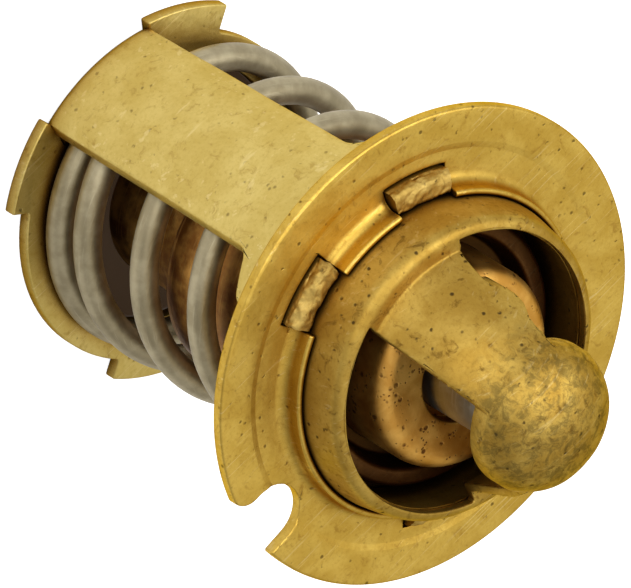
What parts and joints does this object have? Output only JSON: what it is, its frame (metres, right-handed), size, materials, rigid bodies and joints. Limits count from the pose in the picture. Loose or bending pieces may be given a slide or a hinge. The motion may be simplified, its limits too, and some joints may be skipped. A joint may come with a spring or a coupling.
{
  "type": "engine thermostat",
  "caption": "Wax-element engine coolant thermostat: round flange, windowed bridge dome, two-legged cage, coil spring and a valve disc that slides along the axis.",
  "frame": {"origin": "on the axis, in the plane of the flange's front face", "axes": "+Z along the axis towards the nose; the two legs stand at -Y and +Y, the two windows face -X and +X"},
  "size_m": [0.0379, 0.038, 0.0487],
  "materials": {
    "flange_brass": "stamped sheet, lightly tarnished",
    "dome_brass": "drawn sheet, mottled tarnish",
    "cage_brass": "stamped sheet, lightly stained",
    "spring_steel": "dull wire",
    "valve_brass": "dark tarnished",
    "guide_brass": "copper stained, pitted",
    "piston_steel": "ground",
    "capsule_copper": "dark oxidised, scratched",
    "wax": "wax",
    "rubber": "moulded",
    "washer_plastic": "smooth"
  },
  "bodies": {
    "frame": {"flange_plate": "flange_brass", "bridge_dome": "dome_brass", "spring_cage": "cage_brass", "main_spring": "spring_steel", "piston": "piston_steel"},
    "valve": {"valve_disc": "valve_brass", "guide_body": "guide_brass", "capsule_cup": "capsule_copper", "wax_charge": "wax", "diaphragm": "rubber", "plug": "rubber", "plug_washer": "washer_plastic"}
  },
  "joints": [
    {"name": "valve_slide", "type": "slide", "parent": "frame", "child": "valve", "axis": [0, 0, -1], "range_m": [0, 0.007], "stiffness_N_per_m": 2440, "springref_m": -0.011, "deforming": ["main_spring"]}
  ]
}
